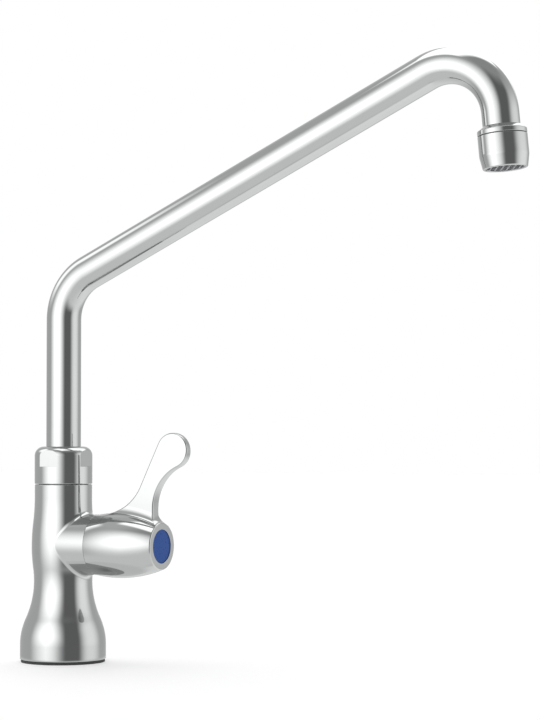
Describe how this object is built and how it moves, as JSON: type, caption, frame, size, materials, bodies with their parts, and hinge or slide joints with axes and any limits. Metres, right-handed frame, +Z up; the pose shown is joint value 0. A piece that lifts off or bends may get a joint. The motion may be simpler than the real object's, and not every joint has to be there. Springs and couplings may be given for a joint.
{
  "type": "swivel tap",
  "caption": "Deck-mounted single-feed pillar tap with a side lever valve, a long angled swivel spout and an aerator, drawn with its shank, washers and back nut.",
  "frame": {"origin": "on the pillar's axis, at the deck surface that the base gasket sits on", "axes": "+Z up along the pillar and the spout's swivel axis; +X towards the side valve and, at rest, the spout's outlet; +Y completes the right-handed frame"},
  "size_m": [0.2834, 0.0446, 0.3634],
  "materials": {
    "chrome": "polished",
    "brass": "machined",
    "zinc_steel": "zinc plated",
    "stainless": "plain",
    "rubber": "moulded",
    "ceramic": "lapped ceramic",
    "white_polymer": "moulded",
    "grey_polymer": "moulded",
    "index_blue": "gloss"
  },
  "bodies": {
    "tap": {"tap_body": "chrome", "base_gasket": "rubber", "threaded_shank": "brass", "cartridge_housing": "brass", "cartridge_o_ring": "rubber", "cartridge_seat_seal": "rubber", "fixed_ceramic_disc": "ceramic", "spout_nut": "chrome", "spout_guide_bush": "white_polymer", "slip_ring": "white_polymer"},
    "deck_fixing": {"deck_washer": "rubber", "clamp_washer": "zinc_steel", "back_nut": "brass"},
    "spout": {"spout_tube": "chrome", "spout_foot": "brass", "spout_o_rings": "rubber", "end_fitting": "chrome", "aerator_housing": "chrome", "aerator_washer": "rubber", "aerator_diffuser": "white_polymer", "aerator_screens": "stainless", "aerator_insert": "grey_polymer"},
    "handle": {"lever_handle": "chrome", "index_disc": "index_blue", "handle_screw": "stainless", "valve_spindle": "brass", "moving_ceramic_disc": "ceramic", "thrust_washer": "white_polymer", "spindle_o_rings": "rubber", "spindle_circlip": "stainless"}
  },
  "joints": [
    {"name": "spout_swivel", "type": "hinge", "parent": "tap", "child": "spout", "pos_m": [0, 0, 0.1], "axis": [0, 0, 1], "continuous": true},
    {"name": "lever_turn", "type": "hinge", "parent": "tap", "child": "handle", "pos_m": [0.04, 0, 0.061], "axis": [1, 0, 0], "range_deg": [0, 90]},
    {"name": "back_nut_slide", "type": "slide", "parent": "tap", "child": "deck_fixing", "axis": [0, 0, 1], "range_m": [-0.012, 0.017]}
  ]
}
